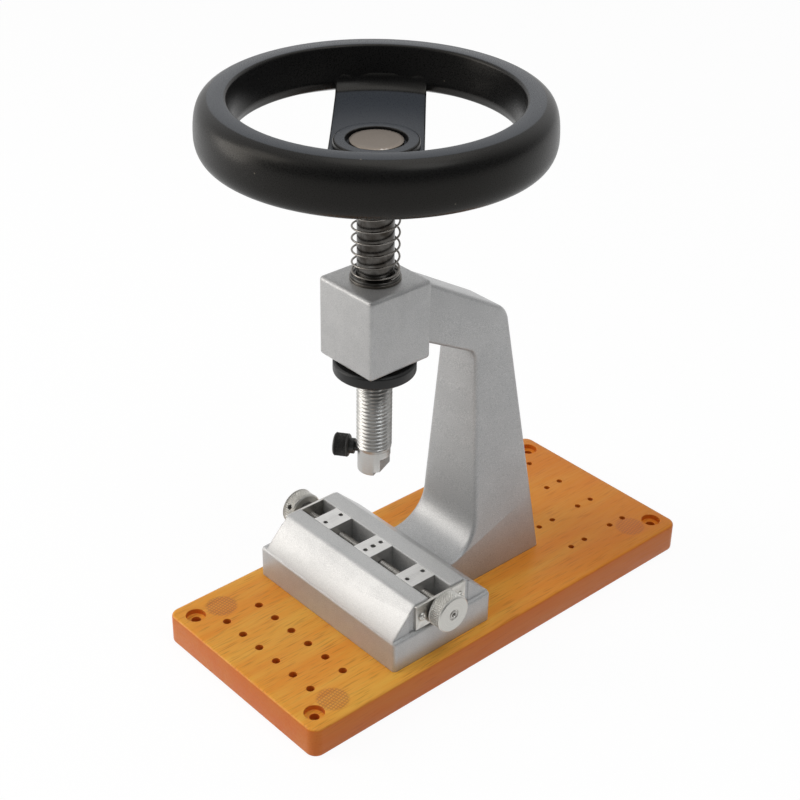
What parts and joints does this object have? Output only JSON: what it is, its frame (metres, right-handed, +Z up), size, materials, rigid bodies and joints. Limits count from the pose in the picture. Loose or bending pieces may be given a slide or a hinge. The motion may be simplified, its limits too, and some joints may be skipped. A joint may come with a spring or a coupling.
{
  "type": "bench watch case opener",
  "caption": "Bench press with a handwheel on a sprung spindle over a self-centring vise, for opening screwed watch case backs.",
  "frame": {"origin": "centre of the board's underside", "axes": "+Y along the board from the operator to the column, +X to the operator's right along the vise, +Z up along the spindle"},
  "size_m": [0.165, 0.27, 0.301],
  "materials": {
    "board_wood": "lacquered",
    "casting_metal": "silver hammer paint",
    "wheel_black": "satin black coating",
    "spindle_steel": "blackened",
    "bright_steel": "bright",
    "dark_steel": "oiled",
    "nut_black": "black oxide",
    "plated": "nickel plated",
    "fibre": "matte",
    "brass": "turned"
  },
  "bodies": {
    "frame": {"base_board": "board_wood", "frame_casting": "casting_metal", "frame_screws": "dark_steel", "frame_washers": "plated", "upper_bush": "dark_steel", "lower_bush": "dark_steel", "lower_spring_seat": "dark_steel", "return_spring": "bright_steel", "centre_block": "plated", "left_end_plate": "plated", "right_end_plate": "plated", "end_plate_screws": "plated"},
    "press_slider": {"upper_spring_seat": "dark_steel"},
    "wheel_and_spindle": {"handwheel": "wheel_black", "hub_cap": "bright_steel", "wheel_bolt": "dark_steel", "wheel_washer": "plated", "wheel_pin": "bright_steel", "spindle": "spindle_steel", "stem": "bright_steel"},
    "stop_washer": {"stop_washer": "fibre"},
    "stop_nut": {"stop_nut": "nut_black"},
    "clamp_tip": {"clamp_tip": "brass"},
    "thumb_screw": {"thumb_screw": "nut_black"},
    "leadscrew": {"leadscrew": "bright_steel", "left_knob": "plated", "right_knob": "plated", "knob_washers": "dark_steel", "knob_set_screws": "dark_steel"},
    "left_jaw": {"left_jaw": "plated"},
    "right_jaw": {"right_jaw": "plated"}
  },
  "joints": [
    {"name": "spindle_press", "type": "slide", "parent": "frame", "child": "press_slider", "axis": [0, 0, 1], "range_m": [-0.03, 0], "stiffness_N_per_m": 300, "springref_m": 0.06, "deforming": ["return_spring"]},
    {"name": "wheel_turn", "type": "hinge", "parent": "press_slider", "child": "wheel_and_spindle", "pos_m": [0, -0.0445, 0.28], "axis": [0, 0, 1], "continuous": true},
    {"name": "stop_nut_travel", "type": "slide", "parent": "wheel_and_spindle", "child": "stop_washer", "axis": [0, 0, 1], "range_m": [-0.02, 0]},
    {"name": "stop_nut_turn", "type": "hinge", "parent": "stop_washer", "child": "stop_nut", "pos_m": [0, -0.0445, 0.163], "axis": [0, 0, 1], "range_deg": [-3440, 1]},
    {"name": "clamp_tip_travel", "type": "slide", "parent": "wheel_and_spindle", "child": "clamp_tip", "axis": [-0.7986, -0.6018, 0], "range_m": [-0.0008, 0.0024]},
    {"name": "thumb_screw_turn", "type": "hinge", "parent": "clamp_tip", "child": "thumb_screw", "pos_m": [0, -0.0445, 0.113], "axis": [-0.7986, -0.6018, 0], "range_deg": [-361, 1081]},
    {"name": "leadscrew_turn", "type": "hinge", "parent": "frame", "child": "leadscrew", "pos_m": [0, -0.0445, 0.0438], "axis": [1, 0, 0], "range_deg": [-2885, 5410]},
    {"name": "left_jaw_travel", "type": "slide", "parent": "frame", "child": "left_jaw", "axis": [1, 0, 0], "range_m": [-0.01, 0.01875]},
    {"name": "right_jaw_travel", "type": "slide", "parent": "frame", "child": "right_jaw", "axis": [-1, 0, 0], "range_m": [-0.0101, 0.0189]}
  ],
  "couplings": [
    {"joint": "stop_nut_turn", "follows": "stop_nut_travel", "rad_per_m": 2992},
    {"joint": "thumb_screw_turn", "follows": "clamp_tip_travel", "rad_per_m": 7854},
    {"joint": "leadscrew_turn", "follows": "left_jaw_travel", "rad_per_m": 5026.5},
    {"joint": "right_jaw_travel", "follows": "left_jaw_travel", "ratio": 1}
  ]
}
